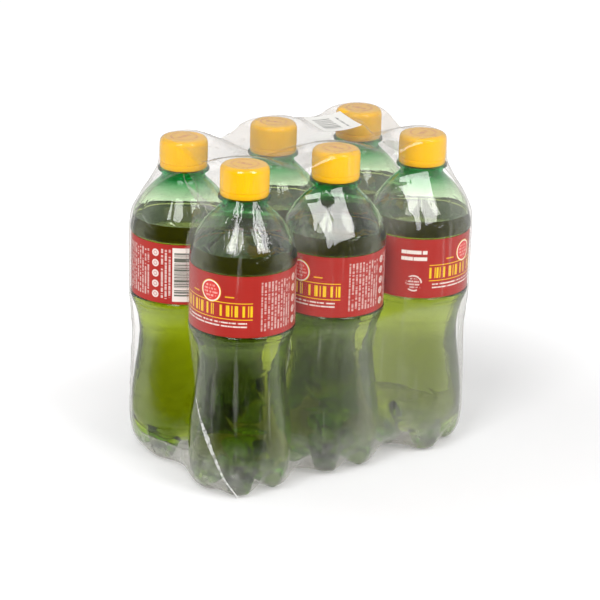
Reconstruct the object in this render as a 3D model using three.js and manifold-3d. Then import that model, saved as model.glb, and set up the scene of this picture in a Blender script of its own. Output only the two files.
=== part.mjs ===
// A pack of six small bottles of drink in a clear shrink sleeve. Millimetres, +Z up.
// X runs along the three bottles of a row, Y across the two rows, and the floor is z = 0.
import * as THREE from 'three';
import { mergeVertices } from 'three/addons/utils/BufferGeometryUtils.js';
import Module from 'manifold-3d';

// Driving dimensions
const PITCH = 70; // distance between neighbouring bottles
const COLUMNS = 3;
const ROWS = 2;
const SIDES = 20; // flats round a bottle, four for each foot
const FEET = 5;
const FOOT_Z = 0.8; // underside of the feet, just above the film
const BODY_R = 33.4;
const WAIST_R = 28;
const WAIST_Z = 82.4;
const LIP_R = 34.2; // the two lips that guard the label
const PANEL_R = 33.2; // the recess that the label lies in
const LABEL_LOW = 111.7;
const LABEL_HIGH = 151.8;
const LABEL_THICK = 0.4;
const NECK_R = 14;
const COLLAR_R = 16.7;
const COLLAR_Z = 192.8;
const FINISH_R = 12.8; // the threaded mouth under the cap
const MOUTH_R = 11;
const MOUTH_Z = 212.3;
const WALL = 0.8;
const GAP = 0.3; // clearance between touching pieces
const LEVEL = 168.3; // surface of the drink
const VALLEY_RISE = 9.2; // how far the base lifts between two feet
const VALLEY_TOP = 22.6; // above this height the base is round
const CAP_R = 15.45;
const CAP_LOW = 194.8;
const CAP_HIGH = 214.4;
const CAP_WALL = 1.5;
const FILM_THICK = 0.5;
const FILM_TOP = CAP_HIGH + GAP + FILM_THICK;
const FILM_SAG = 9; // how far the film hangs down midway between four caps
const FILM_FLAT_R = 22; // the film stays level this far round a cap's axis
const FILM_STEPS = 4; // film facets between two neighbouring bottles
const STICKER = { x: 38, y: 22, length: 38, width: 27, thick: 0.3, turn: 76, slope: 0.08, bow: 0.9 };

// Direction of one foot of each bottle of the front and back rows, in flats from +X
const FOOT_TURNS = [[13, 13, 14], [4, 16, 9]];

const COLOURS = {
  bottle: { color: 0x2f9a4e, roughness: 0.08, metalness: 0 },
  drink: { color: 0x9aa21e, roughness: 0.05, metalness: 0 },
  cap: { color: 0xfdc900, roughness: 0.35, metalness: 0 },
  label: { color: 0xb4231c, roughness: 0.45, metalness: 0 },
  film: { color: 0xe6e2df, roughness: 0.15, metalness: 0 },
  sticker: { color: 0xf4f2ee, roughness: 0.7, metalness: 0 },
};

const wasm = await Module();
wasm.setup();

const rad = THREE.MathUtils.degToRad;
const smooth = THREE.MathUtils.smoothstep;
const clamp = THREE.MathUtils.clamp;

const AXIS_X = (PITCH * (COLUMNS - 1)) / 2;
const AXIS_Y = (PITCH * (ROWS - 1)) / 2;

// Round pieces

function lathe(profile) {
  const points = profile.map(([r, z]) => new THREE.Vector2(r, z));
  const geometry = new THREE.LatheGeometry(points, SIDES);
  return geometry.rotateX(Math.PI / 2);
}

// The base is round at its side and lifts between the feet, most where the feet stand
function liftValleys(geometry, footAngle) {
  const position = geometry.attributes.position;
  for (let i = 0; i < position.count; i += 1) {
    const x = position.getX(i);
    const y = position.getY(i);
    const z = position.getZ(i);
    const fromFoot = FEET * (Math.atan2(y, x) - footAngle);
    const valley = 0.5 - 0.5 * Math.cos(fromFoot);
    const low = clamp((VALLEY_TOP - z) / (VALLEY_TOP - 6), 0, 1);
    const outward = smooth(Math.hypot(x, y), 4, 22);
    position.setZ(i, z + VALLEY_RISE * valley * low * outward);
  }
  return geometry;
}

function bottleProfile() {
  return [
    [0, 5.6],
    [24.7, FOOT_Z],
    [29.9, 6.2],
    [BODY_R - 0.3, 18.5],
    [BODY_R, 34],
    [30.5, 59.7],
    [WAIST_R, WAIST_Z],
    [29.9, 95.7],
    [LIP_R, LABEL_LOW - 2],
    [PANEL_R, LABEL_LOW - GAP],
    [PANEL_R, LABEL_HIGH + GAP],
    [LIP_R, LABEL_HIGH + 2.2],
    [32.5, 164.2],
    [26.4, 176],
    [17.5, 185.8],
    [NECK_R, 189.4],
    [NECK_R, COLLAR_Z - 0.6],
    [COLLAR_R, COLLAR_Z],
    [COLLAR_R, CAP_LOW - GAP],
    [FINISH_R, CAP_LOW - GAP],
    [FINISH_R, MOUTH_Z],
    [MOUTH_R, MOUTH_Z],
    [MOUTH_R, 191],
    [25.5, 174.8],
    [31.5, 163.3],
    [PANEL_R - WALL, LABEL_HIGH],
    [PANEL_R - WALL, LABEL_LOW],
    [WAIST_R - WALL, WAIST_Z],
    [BODY_R - WALL, 34],
    [BODY_R - WALL - 0.3, 19],
    [24.3, FOOT_Z + WALL],
    [0, 5.6 + WALL],
  ];
}

// The drink fills the bottle up to its level, a little clear of the wall and more so over the feet
function drinkProfile() {
  const inset = WALL + GAP;
  return [
    [0, 6 + inset],
    [22.8, FOOT_Z + inset + 1.4],
    [BODY_R - inset - 0.8, 19.8],
    [BODY_R - inset, 34],
    [WAIST_R - inset, WAIST_Z],
    [PANEL_R - inset, LABEL_LOW + 1],
    [31.1, 163.3],
    [28.5, LEVEL],
    [0, LEVEL],
  ];
}

function labelProfile() {
  const inner = PANEL_R + GAP;
  const outer = inner + LABEL_THICK;
  return [
    [inner, LABEL_LOW],
    [outer, LABEL_LOW],
    [outer, LABEL_HIGH],
    [inner, LABEL_HIGH],
    [inner, LABEL_LOW],
  ];
}

function capProfile() {
  const inner = CAP_R - CAP_WALL;
  return [
    [inner, CAP_LOW],
    [CAP_R, CAP_LOW],
    [CAP_R, CAP_HIGH - 1.6],
    [CAP_R - 1, CAP_HIGH],
    [0, CAP_HIGH],
    [0, CAP_HIGH - CAP_WALL],
    [inner, CAP_HIGH - CAP_WALL],
    [inner, CAP_LOW],
  ];
}

// The film
// Each ring of the film goes once round the pack, at a reach beyond the rectangle of the bottle axes.
// Its dip is how far the film draws in between two bottles, and its hang the share of the top's sag.
const FILM_RINGS = [
  { z: 0, reach: 26, dip: 4, hang: 0 },
  { z: 4, reach: 29.8, dip: 4, hang: 0 },
  { z: 13.5, reach: 33.4, dip: 4, hang: 0 },
  { z: 25, reach: BODY_R + GAP + FILM_THICK, dip: 4, hang: 0 },
  { z: WAIST_Z, reach: 32.6, dip: 4, hang: 0 },
  { z: LABEL_LOW - 2, reach: LIP_R + GAP + FILM_THICK, dip: 3, hang: 0 },
  { z: LABEL_HIGH + 2.2, reach: LIP_R + GAP + FILM_THICK, dip: 4, hang: 0 },
  { z: 164.5, reach: 33.6, dip: 5, hang: 0 },
  { z: 178, reach: 26.8, dip: 6, hang: 0.1 },
  { z: 185.5, reach: 21.9, dip: 6, hang: 0.25 },
  { z: CAP_LOW, reach: COLLAR_R + GAP + FILM_THICK + 0.5, dip: 5, hang: 0.45 },
  { z: 206, reach: CAP_R + GAP + FILM_THICK + 0.2, dip: 4.5, hang: 0.8 },
  { z: FILM_TOP, reach: CAP_R + 0.65, dip: 3.5, hang: 1 },
];

// The hand hole in the film at the -X end, as points [y, z] of a closed curve
const HAND_HOLE = [
  [15, 198], [2, 190.5], [-9, 177], [-21, 157.5], [-25, 125.5], [-30, 84.5], [-38, 47], [-28, 28],
  [-8, 20.5], [18.5, 17.5], [36, 20.5], [42, 41], [42, 92.5], [41, 152.5], [36, 181],
];

// Stations round the pack: a point of the axes' rectangle, the way out of it, and the share of the dip
function stationsRound() {
  const stations = [];
  const corners = [[-1, -1], [1, -1], [1, 1], [-1, 1]];
  const turnStep = 360 / SIDES;
  const stepLength = PITCH / FILM_STEPS;
  corners.forEach(([sx, sy], i) => {
    const [nextX, nextY] = corners[(i + 1) % corners.length];
    const from = new THREE.Vector2(sx * AXIS_X, sy * AXIS_Y);
    const to = new THREE.Vector2(nextX * AXIS_X, nextY * AXIS_Y);
    const steps = Math.round(from.distanceTo(to) / stepLength);
    const facing = -90 + 90 * i;
    const out = new THREE.Vector2(Math.cos(rad(facing)), Math.sin(rad(facing)));
    for (let k = 0; k <= steps; k += 1) {
      const share = Math.sin((Math.PI * k) / FILM_STEPS) ** 2;
      stations.push({ at: from.clone().lerp(to, k / steps), out, share });
    }
    for (let turn = turnStep; turn < 90; turn += turnStep) {
      const angle = rad(facing + turn);
      stations.push({ at: to, out: new THREE.Vector2(Math.cos(angle), Math.sin(angle)), share: 0 });
    }
  });
  return stations;
}

// The film lies on the caps and hangs between them
function sagAt(x, y) {
  const column = clamp(Math.round((x + AXIS_X) / PITCH), 0, COLUMNS - 1);
  const row = clamp(Math.round((y + AXIS_Y) / PITCH), 0, ROWS - 1);
  const fromCap = Math.hypot(x + AXIS_X - column * PITCH, y + AXIS_Y - row * PITCH);
  return FILM_SAG * smooth(fromCap, FILM_FLAT_R, PITCH * Math.SQRT1_2);
}

// A solid from a closed geometry, with shared corners merged and collapsed triangles dropped
function toManifold(geometry) {
  geometry.deleteAttribute('normal');
  geometry.deleteAttribute('uv');
  const merged = mergeVertices(geometry, 1e-4);
  const corners = merged.index.array;
  const triangles = [];
  for (let i = 0; i < corners.length; i += 3) {
    const [a, b, c] = corners.slice(i, i + 3);
    if (a !== b && b !== c && c !== a) {
      triangles.push(a, b, c);
    }
  }
  return new wasm.Manifold(new wasm.Mesh({
    numProp: 3,
    vertProperties: merged.attributes.position.array,
    triVerts: new Uint32Array(triangles),
  }));
}

function fromManifold(solid) {
  const mesh = solid.getMesh();
  const geometry = new THREE.BufferGeometry();
  geometry.setAttribute('position', new THREE.BufferAttribute(mesh.vertProperties, 3));
  geometry.setIndex(new THREE.BufferAttribute(mesh.triVerts, 1));
  geometry.computeVertexNormals();
  return geometry;
}

// A closed skin all round the pack, drawn in by a distance for the film's inner face
function filmSkin(inset) {
  const bottom = inset;
  const top = FILM_TOP - inset;
  const stations = stationsRound();
  const positions = [];
  const quad = (a, b, c, d) => positions.push(...a, ...b, ...c, ...a, ...c, ...d);
  const levels = FILM_RINGS.map((ring) => stations.map(({ at, out, share }) => {
    const reach = ring.reach - inset - ring.dip * share;
    const x = at.x + out.x * reach;
    const y = at.y + out.y * reach;
    return [x, y, clamp(ring.z, bottom, top) - ring.hang * sagAt(x, y)];
  }));
  levels.unshift(stations.map(({ at }) => [at.x, at.y, bottom]));
  levels.push(stations.map(({ at }) => [at.x, at.y, top - sagAt(at.x, at.y)]));
  for (let level = 1; level < levels.length; level += 1) {
    const [lower, upper] = [levels[level - 1], levels[level]];
    stations.forEach((_, k) => {
      const next = (k + 1) % stations.length;
      quad(lower[k], lower[next], upper[next], upper[k]);
    });
  }
  const step = PITCH / FILM_STEPS;
  for (let x = -AXIS_X; x < AXIS_X; x += step) {
    for (let y = -AXIS_Y; y < AXIS_Y; y += step) {
      const cell = [[x, y], [x + step, y], [x + step, y + step], [x, y + step]];
      quad(...cell.map(([u, v]) => [u, v, top - sagAt(u, v)]));
      quad(...cell.map(([u, v]) => [u, v, bottom]).reverse());
    }
  }
  const geometry = new THREE.BufferGeometry();
  geometry.setAttribute('position', new THREE.Float32BufferAttribute(positions, 3));
  return toManifold(geometry);
}

// The hole's curve pushed through the -X end wall as a solid plug
function handHole() {
  const outline = new THREE.Shape();
  const points = HAND_HOLE.map(([y, z]) => new THREE.Vector2(y, z));
  outline.moveTo(points[0].x, points[0].y);
  outline.splineThru([...points.slice(1), points[0]]);
  const depth = 50;
  const geometry = new THREE.ExtrudeGeometry(outline, { depth, bevelEnabled: false, curveSegments: 2 });
  const toEnd = new THREE.Matrix4().makeBasis(
    new THREE.Vector3(0, 1, 0),
    new THREE.Vector3(0, 0, 1),
    new THREE.Vector3(1, 0, 0),
  );
  const innerEnd = -AXIS_X - 12;
  return geometry.applyMatrix4(toEnd).translate(innerEnd - depth, 0, 0);
}

function filmGeometry() {
  const plug = handHole();
  const farPlug = plug.clone().rotateZ(Math.PI);
  const sleeve = filmSkin(0).subtract(filmSkin(FILM_THICK));
  return fromManifold(sleeve.subtract(toManifold(plug)).subtract(toManifold(farPlug)));
}

// Assembly

function mesh(name, geometry, look) {
  const piece = new THREE.Mesh(geometry, new THREE.MeshStandardMaterial(look));
  piece.name = name;
  return piece;
}

// Front row bottles have even numbers and back row bottles odd ones, from -X to +X
function bottle(column, row) {
  const number = 2 * column + (row === 0 ? 2 : 1);
  const footAngle = (FOOT_TURNS[row][column] * 2 * Math.PI) / SIDES;
  const group = new THREE.Group();
  group.position.set(column * PITCH - AXIS_X, row * PITCH - AXIS_Y, 0);
  group.add(mesh(`bottle_${number}`, liftValleys(lathe(bottleProfile()), footAngle), COLOURS.bottle));
  group.add(mesh(`drink_${number}`, liftValleys(lathe(drinkProfile()), footAngle), COLOURS.drink));
  group.add(mesh(`label_${number}`, lathe(labelProfile()), COLOURS.label));
  group.add(mesh(`cap_${number}`, lathe(capProfile()), COLOURS.cap));
  return group;
}

// A paper sticker that lies across the sag of the top film, bowed across its width and a little aslant
function sticker() {
  const { length, width, thick, turn, slope, bow } = STICKER;
  const geometry = new THREE.BoxGeometry(length, width, thick, 1, 4, 1);
  const position = geometry.attributes.position;
  for (let i = 0; i < position.count; i += 1) {
    const across = (2 * position.getY(i)) / width;
    const lift = slope * position.getX(i) - bow * (1 - across ** 2);
    position.setZ(i, position.getZ(i) + lift);
  }
  geometry.rotateZ(rad(turn)).translate(STICKER.x, STICKER.y, FILM_TOP);
  return mesh('sticker', geometry, COLOURS.sticker);
}

const pack = new THREE.Group();
for (let column = 0; column < COLUMNS; column += 1) {
  for (let row = 0; row < ROWS; row += 1) {
    pack.add(bottle(column, row));
  }
}
pack.add(mesh('film', filmGeometry(), COLOURS.film));
pack.add(sticker());

export default pack;
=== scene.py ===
"""Looks for a pack of six small bottles of drink in a clear shrink film.

Shapes are worked out in millimetres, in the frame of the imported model, and meshes are made in metres.
"""

import math

import bpy
import numpy as np
from mathutils import Matrix, Vector


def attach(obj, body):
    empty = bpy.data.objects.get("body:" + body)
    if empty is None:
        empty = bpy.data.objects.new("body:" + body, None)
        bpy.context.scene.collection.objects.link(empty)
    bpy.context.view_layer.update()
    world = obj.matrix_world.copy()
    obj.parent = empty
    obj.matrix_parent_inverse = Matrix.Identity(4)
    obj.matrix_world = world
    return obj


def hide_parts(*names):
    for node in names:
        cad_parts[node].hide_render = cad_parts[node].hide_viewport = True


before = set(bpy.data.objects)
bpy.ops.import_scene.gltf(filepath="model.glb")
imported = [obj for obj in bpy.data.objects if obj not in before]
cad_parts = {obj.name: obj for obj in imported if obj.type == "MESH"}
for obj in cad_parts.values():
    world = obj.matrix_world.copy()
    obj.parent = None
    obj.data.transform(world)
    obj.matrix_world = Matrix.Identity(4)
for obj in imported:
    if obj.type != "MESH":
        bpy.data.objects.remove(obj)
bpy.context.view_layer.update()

MM = 0.001
PITCH = 70.0
AXIS_X = 70.0
AXIS_Y = 35.0
SIDES = 240
FEET = 5
FOOT_TURN = 36.0  # a foot stands this far round from the middle of the label's front
FOOT_OUT = 23.5  # from the bottle's axis to the middle of a foot
LABEL_LOW = 111.7
LABEL_HIGH = 151.8
LABEL_R = 33.5
LABEL_THICK = 0.22
PANEL_R = 33.2
LEVEL = 162.6
NECK_Z = 189.4
MOUTH_Z = 212.3
CAP_LOW = 194.8
CAP_HIGH = 214.4
CAP_R = 15.45
FILM_TOP = 214.65
WALL = 0.42
THICK_BASE = 0.5
FLOOR_Z = -0.2
FLOOR_HALF = 4000
AWAY = (0.586, 0.81)  # from the camera to the pack, as seen from above

# Where each bottle stands, and the way that the middle of its label faces
BOTTLES = {
    1: (-70.0, 35.0, 102.0),
    2: (-70.0, -35.0, -160.0),
    3: (0.0, 35.0, 36.0),
    4: (0.0, -35.0, -164.0),
    5: (70.0, 35.0, 198.0),
    6: (70.0, -35.0, -68.0),
}


# Curves and meshes


def smoothstep(x, low, high):
    t = np.clip((np.asarray(x, float) - low) / (high - low), 0, 1)
    return t * t * (3 - 2 * t)


def smooth_through(keys, at):
    """Values, at given places, of a smooth curve through (place, value) keys that never overshoots them."""
    x, y = np.array(keys, float).T
    slope = np.diff(y) / np.diff(x)
    before, after = slope[:-1], slope[1:]
    same = before * after > 0
    both = np.where(same, before + after, 1)
    inner = np.where(same, 2 * before * after / both, 0)
    tangent = np.r_[slope[0], inner, slope[-1]]
    k = np.clip(np.searchsorted(x, at, side="right") - 1, 0, len(x) - 2)
    width = x[k + 1] - x[k]
    t = np.clip((at - x[k]) / width, 0, 1)
    rise = (3 * t**2 - 2 * t**3) * (y[k + 1] - y[k])
    start = (t**3 - 2 * t**2 + t) * width * tangent[k]
    end = (t**3 - t**2) * width * tangent[k + 1]
    return y[k] + rise + start + end


def curve(points, count, closed=False):
    """A smooth curve through 2-D points, as count points evenly spaced along it."""
    p = np.array(points, float)
    if closed:
        p = np.vstack([p[-1:], p, p[:2]])
    else:
        p = np.vstack([2 * p[:1] - p[1:2], p, 2 * p[-1:] - p[-2:-1]])
    t = np.linspace(0, 1, 24, endpoint=False)[:, None]
    pieces = []
    for a, b, c, d in zip(p, p[1:], p[2:], p[3:]):
        square = (2 * a - 5 * b + 4 * c - d) * t**2
        cube = (3 * b - a - 3 * c + d) * t**3
        pieces.append(0.5 * (2 * b + (c - a) * t + square + cube))
    dense = np.vstack(pieces + [p[-2:-1]])
    along = np.r_[0, np.cumsum(np.hypot(*np.diff(dense, axis=0).T))]
    want = np.linspace(0, along[-1], count + closed)[:count]
    return np.column_stack([np.interp(want, along, dense[:, k]) for k in range(2)])


def make_piece(name, points, faces, look, slot, smooth_below=40):
    """A mesh object from points in mm. Edges sharper than smooth_below degrees stay sharp."""
    mesh = bpy.data.meshes.new(name)
    mesh.from_pydata((np.asarray(points) * MM).tolist(), [], faces)
    mesh.validate()
    mesh.shade_smooth()
    mesh.set_sharp_from_angle(angle=math.radians(smooth_below))
    mesh.materials.append(look)
    piece = bpy.data.objects.new(name, mesh)
    bpy.context.scene.collection.objects.link(piece)
    return piece


def skin(rings, start=None, end=None, joined=False):
    """Points and faces over rings of points, each going anticlockwise as seen from the last one.
    start and end are points that shut the skin; joined ties the last ring to the first."""
    rings = np.asarray(rings, float)
    count, sides = rings.shape[:2]
    i = np.arange(sides)
    j = (i + 1) % sides
    steps = np.arange(count if joined else count - 1)[:, None]
    low, high = steps * sides, (steps + 1) % count * sides
    quads = np.stack([low + i, low + j, high + j, high + i], -1).reshape(-1, 4).tolist()
    points = rings.reshape(-1, 3).tolist()
    if start is not None:
        points.append(list(start))
        quads += [[len(points) - 1, b, a] for a, b in zip(i.tolist(), j.tolist())]
    if end is not None:
        points.append(list(end))
        last = (count - 1) * sides
        quads += [[last + a, last + b, len(points) - 1] for a, b in zip(i.tolist(), j.tolist())]
    return np.array(points), quads


def grid_faces(rows, columns):
    """Faces over a grid of points, whose rows run along X and columns along Y, as seen from above."""
    i, j = np.meshgrid(np.arange(rows - 1), np.arange(columns - 1), indexing="ij")
    a = (i * columns + j).reshape(-1)
    return np.stack([a, a + columns, a + columns + 1, a + 1], -1)


def unit(vectors):
    return vectors / np.linalg.norm(vectors, axis=1)[:, None]


def turned(radius, height, turn):
    """Points of rings with radii and heights of shape (rings, sides) at the turns round Z in radians."""
    radius, height, turn = np.broadcast_arrays(radius, height, turn)
    return np.stack([radius * np.cos(turn), radius * np.sin(turn), height], -1)


def turns(sides):
    return np.arange(sides) * 2 * math.pi / sides


def around(turn, facing):
    """How far, in degrees from -180 to 180, turns in radians lie round from a facing in degrees."""
    return (np.degrees(turn) - facing + 180) % 360 - 180


# The bottle, about its own axis, with the middle of its label at +X

BODY = [
    (30, 33.1), (34, 33.1), (45, 32.3), (58.7, 30.6), (67, 29.3), (74, 28.5), (82.4, 28), (92.6, 29),
    (100, 30.9), (105.5, 33), (108.4, 34), (109.4, 34.2), (110.5, 34.2), (111.3, 33.6),
    (111.6, PANEL_R), (151.9, PANEL_R), (152.2, 33.6), (153, 34.2), (154.6, 34.15), (157.5, 33.7),
    (160.6, 32.9), (164, 32), (167.8, 30.6), (170.9, 29), (174, 27), (178, 24.1), (181.2, 21.3),
    (185.3, 17), (187.4, 15), (NECK_Z, 14), (191, 14),
]
NECK = [
    (14, 190.2), (14, 192), (14.4, 192.5), (16.2, 192.7), (16.6, 192.9), (16.7, 193.6), (16.6, 194.3),
    (16.2, 194.5), (13.2, 194.5), (12.8, 194.8), (12.8, 211.9), (12.4, MOUTH_Z), (11.4, MOUTH_Z), (11, 211.9),
]
FOOT = [
    (0, 5.6), (6, 5.5), (12, 4.2), (17, 2.1), (21, 1), (24.5, 0.8), (27.3, 2.2), (29.6, 5.6),
    (31.6, 11), (32.7, 18), (33.1, 25), (33.1, 30),
]
VALLEY = [
    (0, 5.6), (5, 5.8), (11, 7), (17, 9.4), (22.5, 12.8), (27, 16.8), (30, 20.6), (31.8, 24.2),
    (32.8, 27.4), (33.1, 30),
]
# The raised outline of a leaf over each foot: how far round it lies, in degrees, and its height
LEAF = [
    (-41, 51.5), (-35, 62.8), (-26, 73.6), (-13, 78), (0, 78.7), (12, 76.5), (20, 73), (28, 67),
    (42, 60.5), (54, 56), (65, 48), (77, 42), (84, 37), (84, 32), (80, 29.3),
]


def leaf_relief(turn, height):
    """How much of a raised line of the leaves lies at each point, from 0 to 1."""
    mm_per_degree = 0.54
    outline = curve(np.array(LEAF) * [mm_per_degree, 1], 60)
    relief = np.zeros(np.broadcast(turn, height).shape)
    for k in range(FEET):
        across = around(turn, FOOT_TURN + 360 / FEET * k) * mm_per_degree + 0 * height
        near = np.full(relief.shape, 1e9)
        for (ax, az), (bx, bz) in zip(outline, outline[1:]):
            along = (across - ax) * (bx - ax) + (height - az) * (bz - az)
            along = np.clip(along / ((bx - ax) ** 2 + (bz - az) ** 2), 0, 1)
            off = (across - ax - along * (bx - ax)) ** 2 + (height - az - along * (bz - az)) ** 2
            near = np.minimum(near, off)
        relief = np.maximum(relief, np.exp(-near / 0.5))
    return relief


def shoulder_relief(turn, height):
    """Outward steps of the eight cells that stand round the shoulder, in mm."""
    cell = around(turn, -37.5) / 45
    cell = cell - np.round(cell)  # 0 at the low point of a cell's V, half a unit where two cells meet
    border = 160.4 + 13 * np.abs(cell)
    step = smoothstep(height, border - 0.6, border + 0.6)
    fade = 1 - smoothstep(height, 172, 183)
    bulge = np.cos(math.pi * cell) ** 2 * np.exp(-((height - 168.5) / 4.5) ** 2)
    groove = np.exp(-((np.abs(cell) - 0.5) / 0.035) ** 2) * smoothstep(height, 166, 169)
    lip = np.exp(-((height - border) / 0.5) ** 2)
    return fade * (0.3 * step + 0.55 * bulge * step - 0.25 * groove - 0.42 * lip)


def body_radius(turn, height):
    relief = np.zeros(np.broadcast(turn, height).shape)
    relief = relief + 0.17 * leaf_relief(turn, height) * smoothstep(height, 28, 30)
    relief = relief + shoulder_relief(turn, height)
    relief = relief - 0.25 * np.exp(-((height - 106.6) / 0.6) ** 2)
    return smooth_through(BODY, height) + relief


def base_rings(turn, count):
    """Radii and heights of the base, which stands on five feet with valleys between them."""
    foot, valley = curve(FOOT, count), curve(VALLEY, count)
    share = 0.5 + 0.5 * np.cos(FEET * (turn - math.radians(FOOT_TURN)))
    share = smoothstep(share, 0.04, 0.82)
    radius = foot[:, :1] * share + valley[:, :1] * (1 - share)
    height = foot[:, 1:] * share + valley[:, 1:] * (1 - share)
    ring = np.exp(-((height - 24.8) / 0.7) ** 2)
    return radius - 0.3 * ring, height


def wall_at(height):
    return WALL + 2.5 * smoothstep(height, 176, 190)


def bottle_skin():
    turn = turns(SIDES)
    base_r, base_z = base_rings(turn, 46)
    heights = np.r_[
        np.arange(31, 106, 1.0), np.arange(106, 112.4, 0.4), np.linspace(114, 150, 6),
        np.arange(151.5, 155.5, 0.4), np.arange(156, 176, 0.4), np.arange(176.5, NECK_Z, 0.8),
    ][:, None]
    neck = np.array(NECK)
    outer = [turned(base_r[1:], base_z[1:], turn), turned(body_radius(turn, heights), heights, turn)]
    outer.append(turned(neck[:, :1], neck[:, 1:], turn))
    down = heights[::-2]
    inner = [
        turned(np.full((3, 1), 11.0), np.array([[205.0], [198], [192]]), turn),
        turned(body_radius(turn, down) - wall_at(down), down, turn),
        turned(base_r[:0:-1] * (1 - WALL / 33), base_z[:0:-1] + THICK_BASE, turn),
    ]
    return skin(np.vstack(outer + inner), (0, 0, base_z[0, 0]), (0, 0, base_z[0, 0] + THICK_BASE))


def drink_skin():
    """The drink reaches a little way into the wall, so that no air shows between them."""
    turn = turns(SIDES)
    reach = 0.14
    base_r, base_z = base_rings(turn, 46)
    heights = np.r_[np.arange(31, 106, 1.5), np.arange(106, LEVEL + 0.4, 1.0)][:, None]
    rings = [
        turned(base_r[1:] * (1 - WALL / 33) + reach, base_z[1:] + THICK_BASE - reach, turn),
        turned(body_radius(turn, heights) - wall_at(heights) + reach, heights, turn),
    ]
    rim = body_radius(turn, np.array([[LEVEL]])) - wall_at(LEVEL) + reach
    inward = np.array([0.25, 0.6, 1.1, 1.8, 3, 6, 12, 20])[:, None]
    rings.append(turned(rim - inward, LEVEL + 0.9 * np.exp(-inward / 0.9) + 0 * rim, turn))
    return skin(np.vstack(rings), (0, 0, base_z[0, 0] + THICK_BASE - reach), (0, 0, LEVEL))


def label_skin():
    turn = turns(SIDES)
    inner, outer = LABEL_R, LABEL_R + LABEL_THICK
    profile = [
        (inner, LABEL_LOW), (outer, LABEL_LOW), (outer, 120), (outer, 130), (outer, 142),
        (outer, LABEL_HIGH), (inner, LABEL_HIGH), (inner, 135),
    ]
    ridge = 0.18 * np.exp(-((around(turn, -178) - 2) / 1.2) ** 2)  # where the label's end overlaps its start
    rings = [turned(r + (ridge if r == outer else 0 * ridge), float(z), turn) for r, z in profile]
    return skin(rings, joined=True)


def cap_skin():
    """A screw cap with fine ribs, a tamper band under a thin groove and a rounded rim."""
    sides = 384
    turn = turns(sides)
    profile = [
        (14.0, 195.2, 0), (14.4, 194.85, 0), (15.0, CAP_LOW, 0), (15.25, 195.2, 0), (15.4, 196.5, 0.3),
        (15.42, 198.1, 0.3), (15.3, 198.45, 0), (15.02, 198.6, 0), (15.02, 198.95, 0), (15.3, 199.1, 0),
        (CAP_R, 199.7, 0.7), (CAP_R, 201, 1), (CAP_R, 204, 1), (CAP_R, 207.5, 1), (15.42, 210.3, 1),
        (15.3, 211.5, 0.6), (15.05, 212.4, 0.1), (14.6, 213.2, 0), (13.9, 213.85, 0), (13, 214.22, 0),
        (11.8, 214.36, 0), (10, CAP_HIGH, 0), (6, CAP_HIGH, 0), (2, CAP_HIGH, 0),
    ]
    ribs = 0.5 - 0.5 * np.cos(96 * turn)
    outer = [turned(r - 0.16 * share * ribs, float(z), turn) for r, z, share in profile]
    inner = [(2.0, 212.9), (10, 212.9), (13.2, 212.8), (13.8, 212.2), (14.0, 205)]
    points, faces = skin(outer + [turned(r, z, turn) for r, z in inner], joined=True)
    # Two flat lids take the place of the faces between the outer side's last ring and the inner side's first
    top = (len(outer) - 1) * sides
    del faces[top : top + sides]
    faces.append(list(range(top, top + sides)))
    faces.append(list(range(top + sides, top + 2 * sides))[::-1])
    return points, faces


# Materials


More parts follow.
